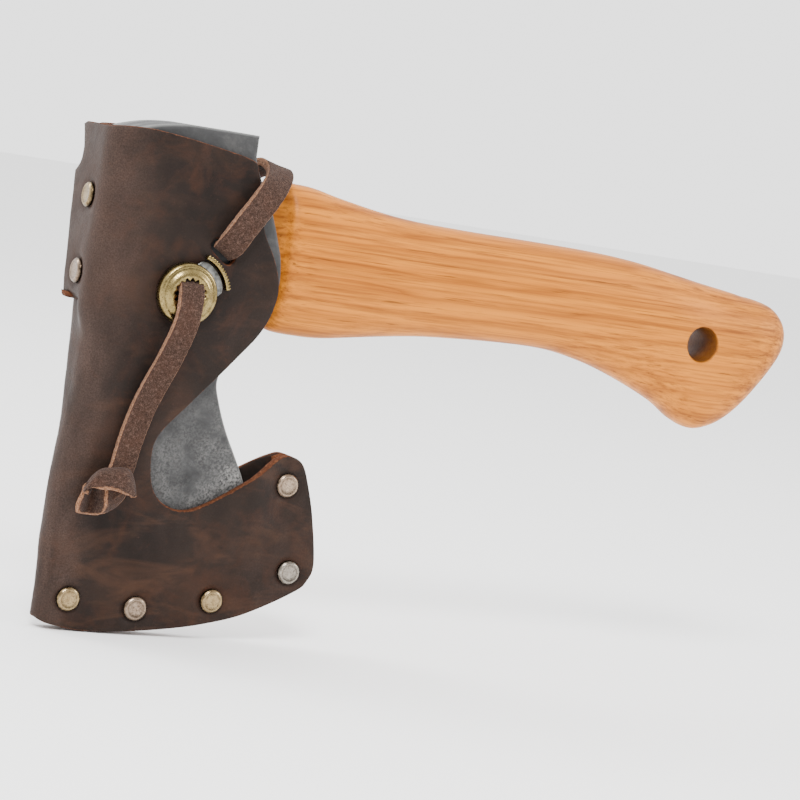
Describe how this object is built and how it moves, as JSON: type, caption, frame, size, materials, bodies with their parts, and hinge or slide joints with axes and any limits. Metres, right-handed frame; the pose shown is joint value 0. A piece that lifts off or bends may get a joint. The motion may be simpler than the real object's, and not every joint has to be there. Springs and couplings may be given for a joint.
{
  "type": "hatchet in sheath",
  "caption": "Small bearded camp hatchet with a short curved wooden haft, its head in a riveted leather sheath that a thong and a sprung cord lock hold shut.",
  "frame": {"origin": "under the middle of the hatchet and sheath, at the height of the sheath's lowest edge", "axes": "+Z from the bit to the poll, +X along the haft away from the head, -Y out of the sheath's front panel"},
  "size_m": [0.2405, 0.042, 0.1464],
  "materials": {
    "forged_steel": "dark forge scale, ground bevel",
    "hickory": "oiled, honey coloured, fine straight grain",
    "leather": "dark brown vegetable-tanned, semi-matt",
    "raw_leather": "raw cut edge, orange brown",
    "thong_leather": "nubuck, dark reddish brown",
    "antique_brass": "antique, speckled, part worn",
    "lock_steel": "plated, bright"
  },
  "bodies": {
    "sheath": {"sheath_body": "leather", "edge_welt": "raw_leather", "edge_rivet_1_cap": "antique_brass", "edge_rivet_1_post": "antique_brass", "edge_rivet_2_cap": "antique_brass", "edge_rivet_2_post": "antique_brass", "edge_rivet_3_cap": "antique_brass", "edge_rivet_3_post": "antique_brass", "edge_rivet_4_cap": "antique_brass", "edge_rivet_4_post": "antique_brass", "edge_rivet_5_cap": "antique_brass", "edge_rivet_5_post": "antique_brass", "spine_rivet_1_cap": "antique_brass", "spine_rivet_1_post": "antique_brass", "spine_rivet_2_cap": "antique_brass", "spine_rivet_2_post": "antique_brass", "loop_rivet_1_cap": "antique_brass", "loop_rivet_1_post": "antique_brass", "loop_rivet_2_cap": "antique_brass", "loop_rivet_2_post": "antique_brass", "lock_shell": "antique_brass", "lock_eyelet": "antique_brass", "lock_spring": "lock_steel", "thong_loop": "thong_leather", "thong_tail": "thong_leather", "thong_knot": "thong_leather", "spine_flap": "leather", "belt_loop": "leather", "loop_rivet_3_cap": "antique_brass", "loop_rivet_3_post": "antique_brass", "loop_rivet_4_cap": "antique_brass", "loop_rivet_4_post": "antique_brass"},
    "hatchet": {"axe_head": "forged_steel", "haft": "hickory", "haft_wedge": "hickory", "ring_wedge": "forged_steel"},
    "lock_slide": {"lock_plate": "lock_steel", "lock_button": "antique_brass"}
  },
  "joints": [
    {"name": "hatchet_pull", "type": "slide", "parent": "sheath", "child": "hatchet", "axis": [0, 0, 1], "range_m": [0, 0.135], "deforming": ["thong_loop"]},
    {"name": "lock_press", "type": "slide", "parent": "sheath", "child": "lock_slide", "axis": [-0.7431, 0, -0.6691], "range_m": [0, 0.002], "stiffness_N_per_m": 400, "springref_m": -0.001, "deforming": ["lock_spring"]}
  ]
}
